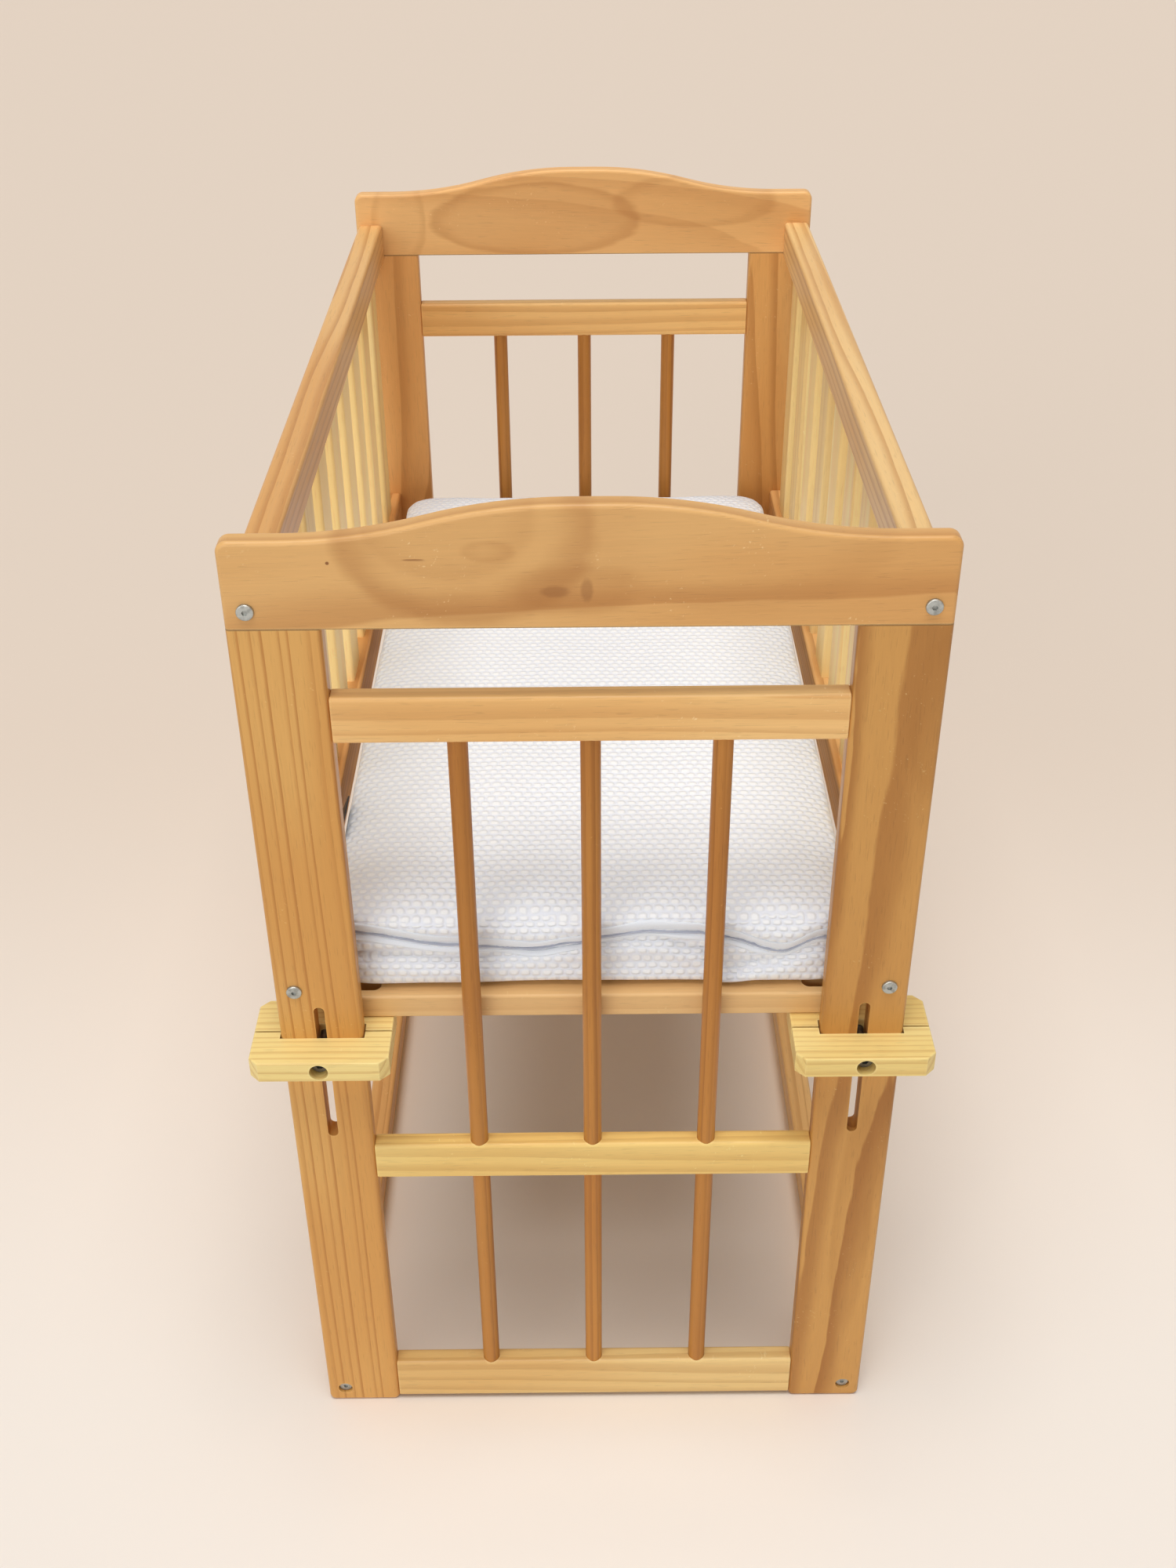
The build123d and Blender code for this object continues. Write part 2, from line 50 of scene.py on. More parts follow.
def screen(r, g, b):
    # a colour as it looks on screen, 0 to 255, as the linear value that Blender wants
    parts = []
    for c in (r / 255, g / 255, b / 255):
        parts.append(c / 12.92 if c <= 0.04045 else ((c + 0.055) / 1.055) ** 2.4)
    return (*parts, 1.0)


def addNode(tree, kind, **settings):
    node = tree.nodes.new("ShaderNode" + kind)
    for name, value in settings.items():
        setattr(node, name, value)
    return node


def plug(tree, socket, value):
    if isinstance(value, bpy.types.NodeSocket):
        tree.links.new(value, socket)
    else:
        socket.default_value = value


def calc(tree, operation, *values):
    node = addNode(tree, "Math", operation=operation)
    for socket, value in zip(node.inputs, values):
        plug(tree, socket, value)
    return node.outputs[0]


def vec(tree, operation, a, b=None, scale=None):
    node = addNode(tree, "VectorMath", operation=operation)
    plug(tree, node.inputs[0], a)
    if b is not None:
        plug(tree, node.inputs[1], b)
    if scale is not None:
        plug(tree, node.inputs["Scale"], scale)
    return node.outputs["Value"] if operation in ("LENGTH", "DOT_PRODUCT") else node.outputs[0]


def smooth(tree, value, low, high, start=0.0, end=1.0):
    node = addNode(tree, "MapRange", interpolation_type="SMOOTHSTEP")
    given = {"Value": value, "From Min": low, "From Max": high, "To Min": start, "To Max": end}
    for name, v in given.items():
        plug(tree, node.inputs[name], v)
    return node.outputs["Result"]


def mixColor(tree, factor, a, b):
    node = addNode(tree, "Mix", data_type="RGBA")
    plug(tree, node.inputs["Factor"], factor)
    plug(tree, node.inputs["A"], a)
    plug(tree, node.inputs["B"], b)
    return node.outputs["Result"]


def speckle(tree, vector, scale, detail=2.0, output="Fac", dimensions="3D"):
    node = addNode(tree, "TexNoise", noise_dimensions=dimensions)
    plug(tree, node.inputs["W" if dimensions == "1D" else "Vector"], vector)
    node.inputs["Scale"].default_value = scale
    node.inputs["Detail"].default_value = detail
    return node.outputs[output]


def newGroup(name, inputs, outputs):
    tree = bpy.data.node_groups.new(name, "ShaderNodeTree")
    for way, sockets in (("INPUT", inputs), ("OUTPUT", outputs)):
        for label, kind in sockets.items():
            tree.interface.new_socket(name=label, in_out=way, socket_type="NodeSocket" + kind)
    return tree, tree.nodes.new("NodeGroupInput").outputs, tree.nodes.new("NodeGroupOutput").inputs


def useGroup(tree, group, values):
    node = tree.nodes.new("ShaderNodeGroup")
    node.node_tree = group
    for name, value in values.items():
        plug(tree, node.inputs[name], value)
    return node.outputs


def newMaterial(name):
    material = bpy.data.materials.new(name)
    material.use_nodes = True
    tree = material.node_tree
    tree.nodes.clear()
    shader = addNode(tree, "BsdfPrincipled")
    out = addNode(tree, "OutputMaterial")
    tree.links.new(shader.outputs[0], out.inputs[0])
    return material, tree, shader


def addBump(tree, shader, height, strength, depth):
    bump = addNode(tree, "Bump")
    bump.inputs["Strength"].default_value = strength
    bump.inputs["Distance"].default_value = depth
    plug(tree, bump.inputs["Height"], height)
    plug(tree, shader.inputs["Normal"], bump.outputs[0])


def giveMaterial(obj, material):
    obj.data.materials.clear()
    obj.data.materials.append(material)


def meshObject(name, shell):
    mesh = bpy.data.meshes.new(name)
    shell.to_mesh(mesh)
    shell.free()
    obj = bpy.data.objects.new(name, mesh)
    bpy.context.scene.collection.objects.link(obj)
    return obj


# the middle of a noise's colour, where it moves nothing
halfway = (0.5, 0.5, 0.5)

grainValues = {
    # how often each noise turns in a metre, across the grain and along it
    "wander": (5, 5, 1.1),
    "waver": (42, 42, 8),
    "patch": (8, 8, 1.9),
    "fibre": (700, 700, 16),
    "canals": (1100, 1100, 55),
    # rings of unequal width and of unequal strength
    "ringNoise": 0.45,
    "ringShift": 1.6,
    "weakest": 0.5,
    # late wood, as shares of a ring: full from lateFull, and gone from lateFall to the ring's end
    "lateStart": 0.93,
    "lateFull": 0.95,
    "lateFall": 0.955,
    "patchEdges": (0.42, 0.62),
    "canalEdges": (0.66, 0.78),
    "fibreShow": 0.12,
    "canalShow": 0.10,
    "roughness": 0.40,
    "fibreRoughness": 0.35,
    "fibreHeight": 0.5,
    "canalDepth": 0.7,
}


def makePineGrain(v):
    # growth rings round a pith that lies along Z of the vector
    tree, given, result = newGroup(
        "pineGrain",
        {
            "Vector": "Vector", "Early Wood": "Color", "Late Wood": "Color", "Warm Patch": "Color",
            "Ring Width": "Float", "Late Share": "Float", "Contrast": "Float",
            "Wander": "Float", "Waver": "Float",
        },
        {"Color": "Color", "Roughness": "Float", "Height": "Float"},
    )
    place = given["Vector"]

    def stretched(key, detail, output="Fac"):
        return speckle(tree, vec(tree, "MULTIPLY", place, v[key]), 1.0, detail, output)

    slow = vec(tree, "SUBTRACT", stretched("wander", 2.0, "Color"), halfway)
    fast = vec(tree, "SUBTRACT", stretched("waver", 3.0, "Color"), halfway)
    bent = vec(tree, "ADD", place, vec(tree, "SCALE", slow, scale=given["Wander"]))
    bent = vec(tree, "ADD", bent, vec(tree, "SCALE", fast, scale=given["Waver"]))
    radius = vec(tree, "LENGTH", vec(tree, "MULTIPLY", bent, (1, 1, 0)))
    phase = calc(tree, "DIVIDE", radius, given["Ring Width"])
    uneven = speckle(tree, phase, v["ringNoise"], 1.0, "Fac", "1D")
    phase = calc(tree, "ADD", phase, calc(tree, "MULTIPLY", uneven, v["ringShift"]))
    ring = calc(tree, "FRACT", phase)
    number = addNode(tree, "TexWhiteNoise", noise_dimensions="1D")
    plug(tree, number.inputs["W"], calc(tree, "FLOOR", phase))
    strength = smooth(tree, number.outputs["Value"], 0.0, 1.0, v["weakest"], 1.0)
    rise = smooth(tree, ring, calc(tree, "SUBTRACT", v["lateStart"], given["Late Share"]), v["lateFull"])
    late = calc(tree, "MULTIPLY", rise, smooth(tree, ring, v["lateFall"], 1.0, 1.0, 0.0))
    late = calc(tree, "MULTIPLY", late, strength)
    fibre = calc(tree, "SUBTRACT", stretched("fibre", 2.0), 0.5)
    canals = smooth(tree, stretched("canals", 0.0), *v["canalEdges"])
    patch = smooth(tree, stretched("patch", 2.0), *v["patchEdges"])
    tone = mixColor(tree, patch, given["Early Wood"], given["Warm Patch"])
    tone = mixColor(tree, calc(tree, "MULTIPLY", late, given["Contrast"]), tone, given["Late Wood"])
    light = calc(tree, "ADD", 1.0, calc(tree, "MULTIPLY", fibre, v["fibreShow"]))
    light = calc(tree, "SUBTRACT", light, calc(tree, "MULTIPLY", canals, v["canalShow"]))
    rough = calc(tree, "ADD", v["roughness"], calc(tree, "MULTIPLY", fibre, v["fibreRoughness"]))
    raised = calc(tree, "MULTIPLY", fibre, v["fibreHeight"])
    sunk = calc(tree, "MULTIPLY", canals, v["canalDepth"])
    plug(tree, result["Color"], vec(tree, "SCALE", tone, scale=light))
    plug(tree, result["Roughness"], rough)
    plug(tree, result["Height"], calc(tree, "SUBTRACT", raised, sunk))
    return tree


def makeEdgeMask():
    # 1 along rounded edges, 0 on the faces; the wood's painted highlight is laid where it is 1
    tree, given, result = newGroup("edgeMask", {"Radius": "Float"}, {"Mask": "Float"})
    bevel = addNode(tree, "Bevel", samples=4)
    plug(tree, bevel.inputs["Radius"], given["Radius"])
    normal = addNode(tree, "NewGeometry").outputs["Normal"]
    turn = calc(tree, "SUBTRACT", 1.0, vec(tree, "DOT_PRODUCT", bevel.outputs[0], normal))
    plug(tree, result["Mask"], smooth(tree, turn, 0.01, 0.20))
    return tree


scuffValues = {
    "lean": (0.4, 0.7, 0.3),
    "stretch": (420, 38, 300),
    "thin": (0.66, 0.76),
    "rubbedScale": 14.0,
    "rubbed": (0.52, 0.66),
}


def makeScuffs(v):
    # faint short scratches, in the spots where the lacquer is rubbed
    tree, given, result = newGroup("scuffs", {"Vector": "Vector", "Amount": "Float"}, {"Mask": "Float"})
    lean = addNode(tree, "VectorRotate", rotation_type="EULER_XYZ")
    plug(tree, lean.inputs["Vector"], given["Vector"])
    lean.inputs["Rotation"].default_value = v["lean"]
    thin = speckle(tree, vec(tree, "MULTIPLY", lean.outputs[0], v["stretch"]), 1.0, 2.0)
    rubbed = speckle(tree, given["Vector"], v["rubbedScale"], 1.0)
    marks = calc(tree, "MULTIPLY", smooth(tree, thin, *v["thin"]), smooth(tree, rubbed, *v["rubbed"]))
    plug(tree, result["Mask"], calc(tree, "MULTIPLY", marks, given["Amount"]))
    return tree


pineGrain = makePineGrain(grainValues)
edgeMask = makeEdgeMask()
scuffs = makeScuffs(scuffValues)


# each look's edge colour is a painted highlight for the rounded edges, standing in for the gleam on the lacquer
woodLooks = {
    "honey": {
        "Early Wood": screen(219, 169, 106),
        "Late Wood": screen(176, 114, 56),
        "Warm Patch": screen(211, 155, 91),
        "edge": screen(240, 198, 132),
        "scuff": screen(238, 205, 150),
    },
    "orange": {
        "Early Wood": screen(212, 152, 88),
        "Late Wood": screen(160, 96, 42),
        "Warm Patch": screen(203, 140, 76),
        "edge": screen(226, 172, 104),
        "scuff": screen(238, 205, 150),
    },
    "brown": {
        "Early Wood": screen(198, 144, 82),
        "Late Wood": screen(150, 96, 44),
        "Warm Patch": screen(186, 130, 70),
        "edge": screen(212, 160, 96),
        "scuff": screen(226, 186, 126),
    },
    "rose": {
        "Early Wood": screen(234, 190, 138),
        "Late Wood": screen(206, 150, 98),
        "Warm Patch": screen(226, 178, 126),
        "edge": screen(252, 218, 166),
        "scuff": screen(246, 222, 172),
    },
    "pale": {
        "Early Wood": screen(240, 208, 146),
        "Late Wood": screen(205, 156, 92),
        "Warm Patch": screen(232, 196, 130),
        "edge": screen(250, 226, 170),
        "scuff": screen(246, 222, 172),
    },
}
woodFinish = {
    "edgeRadius": 0.0035,
    "edgeShow": 0.35,
    "scuffs": 0.35,
    "scuffRoughness": 0.25,
    "coat": 0.08,
    "coatRoughness": 0.28,
    "specular": 0.28,
    "bump": 0.35,
    "bumpDepth": 0.0004,
    "figureScale": 1.3,
    "figureBend": 0.4,
    "seamColor": screen(84, 46, 20),
    "seamShow": 0.85,
    "seamEdges": (0.0004, 0.0011),
}
# turns that lay the pith's Z along the board
grainTurns = {"X": (0, math.radians(-90), 0), "Y": (math.radians(90), 0, 0), "Z": (0, 0, 0)}


def figureMask(tree, coords, figure):
    # a soft line round an oval, with the inside filled as much as "fill" says
    away = vec(tree, "MULTIPLY", vec(tree, "SUBTRACT", coords, figure["at"]), figure["stretch"])
    bend = vec(tree, "SUBTRACT", speckle(tree, away, woodFinish["figureScale"], 3.0, "Color"), halfway)
    away = vec(tree, "ADD", away, vec(tree, "SCALE", bend, scale=woodFinish["figureBend"]))
    far = vec(tree, "LENGTH", away)
    outer = smooth(tree, far, 1.0, 1.0 + figure["wide"], figure["dark"], 0.0)
    inner = smooth(tree, far, 1.0 - 2 * figure["wide"], 1.0, figure["fill"], 1.0)
    return calc(tree, "MULTIPLY", outer, inner)


def seamMask(tree, coords, level):
    # the dark line of a butt joint
    parts = addNode(tree, "SeparateXYZ")
    plug(tree, parts.inputs[0], coords)
    off = calc(tree, "ABSOLUTE", calc(tree, "SUBTRACT", parts.outputs["Z"], level))
    return smooth(tree, off, *woodFinish["seamEdges"], woodFinish["seamShow"], 0.0)


def cutApart(tree, coords, board):
    # each copy in a row gets its own cut of the tree, and its own number from 0 to 1
    axis, pitch = board["every"]
    parts = addNode(tree, "SeparateXYZ")
    plug(tree, parts.inputs[0], coords)
    count = calc(tree, "ROUND", calc(tree, "DIVIDE", parts.outputs[axis], pitch))
    dice = addNode(tree, "TexWhiteNoise", noise_dimensions="1D")
    plug(tree, dice.inputs["W"], calc(tree, "ADD", count, board["seed"]))
    step = addNode(tree, "CombineXYZ")
    plug(tree, step.inputs[axis], calc(tree, "MULTIPLY", count, -pitch))
    shift = vec(tree, "MULTIPLY", vec(tree, "SUBTRACT", dice.outputs["Color"], halfway), board["spread"])
    return vec(tree, "ADD", vec(tree, "ADD", coords, step.outputs[0]), shift), dice.outputs["Value"]


def pineMaterial(name, board):
    look = woodLooks[board["look"]]
    finish = {**woodFinish, **board}
    material, tree, shader = newMaterial("wood_" + name)
    spot = coords = addNode(tree, "TexCoord").outputs["Object"]
    if "every" in board:
        coords, number = cutApart(tree, coords, board)
    leanX, leanY = board.get("lean", (0.0, 0.0))
    turn = Euler((leanX, leanY, 0)).to_matrix() @ Euler(grainTurns[board["grain"]]).to_matrix()
    offset = Vector((*board["pith"], board.get("along", 0.0)))
    mapping = addNode(tree, "Mapping")
    plug(tree, mapping.inputs["Vector"], coords)
    mapping.inputs["Rotation"].default_value = turn.to_euler()
    mapping.inputs["Location"].default_value = offset - turn @ Vector(board["middle"])
    place = mapping.outputs[0]
    values = {"Vector": place}
    values.update({key: look[key] for key in ("Early Wood", "Late Wood", "Warm Patch")})
    values.update({key: board[key] for key in ("Ring Width", "Late Share", "Contrast", "Wander", "Waver")})
    grain = useGroup(tree, pineGrain, values)
    color = grain["Color"]
    if "every" in board:
        tone = smooth(tree, number, 0.0, 1.0, 1.0 - board["tones"], 1.0 + board["tones"])
        color = vec(tree, "SCALE", color, scale=tone)
    for figure in board.get("figures", []):
        color = mixColor(tree, figureMask(tree, spot, figure), color, figure["color"])
    if "seam" in board:
        color = mixColor(tree, seamMask(tree, spot, board["seam"]), color, finish["seamColor"])
    # painted highlight: the rounded edges are lightened towards the look's edge colour
    edges = useGroup(tree, edgeMask, {"Radius": finish["edgeRadius"]})["Mask"]
    color = mixColor(tree, calc(tree, "MULTIPLY", edges, finish["edgeShow"]), color, look["edge"])
    marks = useGroup(tree, scuffs, {"Vector": place, "Amount": finish["scuffs"]})["Mask"]
    color = mixColor(tree, marks, color, look["scuff"])
    # the tint: the board's own tone, and painted light that brightens the boards the lamps leave darker
    color = vec(tree, "MULTIPLY", color, board["toneAndLightTint"])
    rough = calc(tree, "ADD", grain["Roughness"], calc(tree, "MULTIPLY", marks, finish["scuffRoughness"]))
    plug(tree, shader.inputs["Base Color"], color)
    plug(tree, shader.inputs["Roughness"], rough)
    shader.inputs["Coat Weight"].default_value = finish["coat"]
    shader.inputs["Coat Roughness"].default_value = finish["coatRoughness"]
    shader.inputs["Specular IOR Level"].default_value = finish["specular"]
    addBump(tree, shader, grain["Height"], finish["bump"], finish["bumpDepth"])
    return material


knotBrown = screen(120, 66, 30)
bandBrown = screen(166, 106, 50)


def oval(x, z, halfWidth, halfHeight, wide, dark, color, fill):
    # a grain figure on an upright board; the depth doesn't matter to it
    return {
        "at": (x, 0, z), "stretch": (1 / halfWidth, 0, 1 / halfHeight),
        "wide": wide, "dark": dark, "color": color, "fill": fill,
    }


# where the boards' middles lie: the ends' planes, the posts, the side panels, and the posts' tops
endY, postX, sideX, postTop = 0.4635, 0.23, 0.2485, 0.875
postZ, headboardZ = 0.44, 0.92

# "pith" is how far off the tree's middle lies, "lean" how the grain slants, "along" which stretch of the
# tree it is, and the tint how the board's colour differs from its look: partly the board's own tone,
# partly painted light that lifts boards the lamps leave darker, such as the rear boards, the rails and the slats
boards = {
    "front_headboard": {
        "look": "honey", "toneAndLightTint": (1.09, 1.13, 1.17), "grain": "X", "middle": (0, -endY, headboardZ),
        "pith": (0.02, -0.14), "lean": (0.0, 0.03), "seam": postTop, "scuffs": 0.6, "edgeShow": 0.6,
        "Ring Width": 0.016, "Late Share": 0.55, "Contrast": 0.55, "Wander": 0.05, "Waver": 0.003,
        "figures": [
            oval(-0.088, 0.957, 0.088, 0.074, 0.17, 0.42, bandBrown, 0.16),
            oval(-0.100, 0.968, 0.058, 0.050, 0.20, 0.16, bandBrown, 0.10),
            oval(0.110, 0.955, 0.100, 0.062, 0.22, 0.14, bandBrown, 0.20),
            oval(-0.072, 0.936, 0.016, 0.007, 0.45, 0.20, bandBrown, 0.30),
            oval(-0.012, 0.906, 0.034, 0.014, 0.80, 0.34, bandBrown, 1.0),
            oval(-0.025, 0.904, 0.007, 0.003, 0.90, 0.34, knotBrown, 1.0),
            oval(-0.002, 0.905, 0.003, 0.006, 0.90, 0.34, knotBrown, 1.0),
            oval(-0.186, 0.928, 0.0010, 0.0010, 0.60, 0.85, knotBrown, 1.0),
            oval(-0.125, 0.930, 0.0060, 0.0006, 0.60, 0.55, knotBrown, 1.0),
        ],
    },
    "rear_headboard": {
        "look": "honey", "toneAndLightTint": (1.28, 1.34, 1.45), "grain": "X", "middle": (0, endY, headboardZ),
        "pith": (-0.03, -0.13), "lean": (0.02, -0.03), "along": 3.0, "seam": postTop,
        "Ring Width": 0.015, "Late Share": 0.55, "Contrast": 0.35, "Wander": 0.05, "Waver": 0.003,
        "figures": [
            oval(-0.055, 0.916, 0.118, 0.040, 0.10, 0.42, bandBrown, 0.55),
            oval(0.130, 0.935, 0.090, 0.028, 0.14, 0.28, bandBrown, 0.35),
            oval(-0.215, 0.915, 0.030, 0.050, 0.14, 0.22, bandBrown, 0.20),
        ],
    },
    "front_left_post": {
        "look": "honey", "toneAndLightTint": (1.05, 1.03, 0.84), "grain": "Z", "middle": (-postX, -endY, postZ),
        "pith": (0.16, 0.03), "lean": (0.0, 0.012), "seam": postTop,
        "Ring Width": 0.0105, "Late Share": 0.38, "Contrast": 0.70, "Wander": 0.018, "Waver": 0.0012,
    },
    "front_right_post": {
        "look": "orange", "toneAndLightTint": (0.95, 1.02, 0.90), "grain": "Z", "middle": (postX, -endY, postZ),
        "pith": (-0.03, -0.085), "lean": (0.035, 0.01), "along": 1.0, "seam": postTop,
        "Ring Width": 0.015, "Late Share": 0.5, "Contrast": 0.75, "Wander": 0.04, "Waver": 0.006,
        "figures": [
            oval(0.262, 0.800, 0.018, 0.060, 0.5, 0.30, bandBrown, 1.0),
            oval(0.240, 0.250, 0.016, 0.130, 0.3, 0.22, bandBrown, 0.25),
        ],
    },
    "rear_left_post": {
        "look": "orange", "toneAndLightTint": (1.28, 1.40, 1.51), "grain": "Z", "middle": (-postX, endY, postZ),
        "pith": (-0.05, -0.09), "lean": (0.02, 0.02), "along": 2.0, "seam": postTop,
        "Ring Width": 0.010, "Late Share": 0.45, "Contrast": 0.6, "Wander": 0.03, "Waver": 0.003,
    },
    "rear_right_post": {
        "look": "orange", "toneAndLightTint": (1.13, 1.23, 1.23), "grain": "Z", "middle": (postX, endY, postZ),
        "pith": (0.04, 0.10), "lean": (-0.02, 0.015), "along": 4.0, "seam": postTop,
        "Ring Width": 0.011, "Late Share": 0.45, "Contrast": 0.6, "Wander": 0.03, "Waver": 0.003,
    },
}
# painted light as well as tone: the rails are lifted where the lamps leave them darker
railToneAndLightTints = {
    "front_upper": (1.28, 1.46, 1.66),
    "front_middle": (1.28, 1.68, 1.68),
    "front_bottom": (1.18, 1.49, 1.73),
    "rear_upper": (1.28, 1.40, 1.44),
    "rear_middle": (1.28, 1.46, 1.66),
    "rear_bottom": (1.28, 1.68, 1.68),
}
for end, y in (("front", -endY), ("rear", endY)):
    for level, z, depth in (("upper", 0.7965, 0.06), ("middle", 0.333, 0.09), ("bottom", 0.030, 0.07)):
        boards[f"{end}_{level}_rail"] = {
            "look": "honey", "toneAndLightTint": railToneAndLightTints[f"{end}_{level}"], "grain": "X", "middle": (0, y, z),
            "pith": (0.05, depth), "lean": (0.012, 0.01), "along": z * 7 + y,
            "Ring Width": 0.010, "Late Share": 0.6, "Contrast": 0.42, "Wander": 0.03, "Waver": 0.0015,
        }
    for level, z in (("upper", 0.56), ("lower", 0.18)):
        boards[f"{end}_{level}_spindles"] = {
            "look": "brown", "toneAndLightTint": (0.98, 0.85, 0.55), "grain": "Z", "middle": (0, y, z),
            "pith": (0.03, 0.02), "along": z * 3,
            "every": ("X", 0.1015), "spread": (0.06, 0.04, 0.8), "tones": 0.05, "seed": z + y,
            "Ring Width": 0.006, "Late Share": 0.45, "Contrast": 0.6, "Wander": 0.01, "Waver": 0.001,
        }
# painted light as well as tone: the right side's boards and the slats are lifted more, where less light falls
sideToneAndLightTints = {"left": (1.13, 1.19, 1.27), "right": (1.26, 1.49, 1.79)}
slatToneAndLightTints = {"left": (1.28, 1.34, 1.33), "right": (1.28, 1.35, 1.37)}
for side, x in (("left", -sideX), ("right", sideX)):
    boards[f"{side}_top_rail"] = {
        "look": "honey", "toneAndLightTint": sideToneAndLightTints[side], "grain": "Y", "middle": (x, 0, 0.89),
        "pith": (0.04, 0.06), "lean": (0.01, 0.008), "along": x,
        "Ring Width": 0.009, "Late Share": 0.45, "Contrast": 0.65, "Wander": 0.03, "Waver": 0.002,
    }
    boards[f"{side}_bottom_rail"] = {
        "look": "orange", "toneAndLightTint": sideToneAndLightTints[side], "grain": "Y", "middle": (x, 0, 0.549),
        "pith": (0.03, 0.07), "lean": (0.01, 0.0), "along": x + 2,
        "Ring Width": 0.008, "Late Share": 0.45, "Contrast": 0.6, "Wander": 0.02, "Waver": 0.002,
    }
    boards[f"{side}_floor_stretcher"] = {
        "look": "honey", "toneAndLightTint": sideToneAndLightTints[side], "grain": "Y", "middle": (x, 0, 0.0175),
        "pith": (0.05, 0.05), "lean": (0.01, 0.0), "along": x + 5,
        "Ring Width": 0.008, "Late Share": 0.4, "Contrast": 0.6, "Wander": 0.02, "Waver": 0.002,
    }
    boards[f"{side}_slats"] = {
        "look": "pale", "toneAndLightTint": slatToneAndLightTints[side], "grain": "Z", "middle": (x, 0, 0.72),
        "pith": (0.05, 0.03), "coat": 0.0,
        "every": ("Y", 0.0959), "spread": (0.05, 0.08, 1.5), "tones": 0.07, "seed": x * 100,
        "Ring Width": 0.016, "Late Share": 0.6, "Contrast": 0.35, "Wander": 0.02, "Waver": 0.0015,
    }
baseToneAndLightTint = (0.98, 1.03, 0.93)
for end, y in (("front", -1), ("rear", 1)):
    for side, x in (("left", -1), ("right", 1)):
        for part, depth in (("outer", 0.4845), ("inner", 0.4425)):
            boards[f"{end}_{side}_{part}_clamp"] = {
                "look": "pale", "toneAndLightTint": (1.05, 1.14, 1.01), "grain": "X",
                "middle": (x * postX, y * depth, 0.472),
                "pith": (0.03, 0.05), "along": x * 2 + y + depth * 9, "edgeShow": 0.5,
                "Ring Width": 0.0065, "Late Share": 0.4, "Contrast": 0.55, "Wander": 0.02, "Waver": 0.001,
            }
    boards[f"base_{end}_rail"] = {
        "look": "rose", "toneAndLightTint": baseToneAndLightTint, "grain": "X", "middle": (0, y * 0.4165, 0.4935),
        "pith": (0.04, 0.06), "along": y,
        "Ring Width": 0.010, "Late Share": 0.6, "Contrast": 0.35, "Wander": 0.03, "Waver": 0.0015,
    }
for side, x in (("left", -1), ("right", 1)):
    boards[f"base_{side}_rail"] = {
        "look": "honey", "toneAndLightTint": baseToneAndLightTint, "grain": "Y", "middle": (x * 0.211, 0, 0.49),
        "pith": (0.04, 0.06), "along": x,
        "Ring Width": 0.008, "Late Share": 0.4, "Contrast": 0.55, "Wander": 0.02, "Waver": 0.0015,
    }
boards["base_slats"] = {
    "look": "pale", "toneAndLightTint": (1.28, 1.34, 1.33), "grain": "X", "middle": (0, 0, 0.501), "pith": (0.04, 0.05),
    "every": ("Y", 0.0926), "spread": (1.5, 0.05, 0.04), "tones": 0.05, "seed": 7.0,
    "Ring Width": 0.008, "Late Share": 0.4, "Contrast": 0.6, "Wander": 0.02, "Waver": 0.0015,
}
for name in ("front_joint_pins", "rear_joint_pins", "base_joint_pins"):
    boards[name] = {
        "look": "pale", "toneAndLightTint": (1, 1, 1), "grain": "Y", "middle": (0, 0, 0), "pith": (0.02, 0.02),
        "Ring Width": 0.003, "Late Share": 0.4, "Contrast": 0.5, "Wander": 0.01, "Waver": 0.001,
    }
for name, board in boards.items():
    giveMaterial(cadNodes[name], pineMaterial(name, board))
print("wood done:", len(boards), "boards")


steelValues = {
    "cloudScale": 260.0,
    "cloudEdges": (0.35, 0.7),
    "cloudTone": 0.82,
    "smoother": 0.06,
    "rougher": 0.12,
    "fineScale": 2400.0,
    "bump": 0.2,
    "bumpDepth": 0.0001,
}


def makeSteel(name, tone, roughness, v):
    material, tree, shader = newMaterial(name)
    coords = addNode(tree, "TexCoord").outputs["Object"]
    cloud = speckle(tree, coords, v["cloudScale"], 3.0)
    darker = screen(*[c * v["cloudTone"] for c in tone])
    low, high = roughness - v["smoother"], roughness + v["rougher"]
    color = mixColor(tree, smooth(tree, cloud, *v["cloudEdges"]), screen(*tone), darker)
    plug(tree, shader.inputs["Base Color"], color)
    plug(tree, shader.inputs["Roughness"], smooth(tree, cloud, 0.2, 0.8, low, high))
    shader.inputs["Metallic"].default_value = 1.0
    addBump(tree, shader, speckle(tree, coords, v["fineScale"], 2.0), v["bump"], v["bumpDepth"])
    return material


zinc = makeSteel("zincPlate", (186, 190, 188), 0.40, steelValues)
darkSteel = makeSteel("clampSteel", (128, 128, 126), 0.42, steelValues)
for name, obj in cadNodes.items():
    if name.endswith(("frame_bolts", "slat_screws")):
        giveMaterial(obj, zinc)
    if name.endswith(("barrel_nuts", "clamp_bolt", "clamp_nut", "clamp_washers")):
        giveMaterial(obj, darkSteel)
print("steel done")


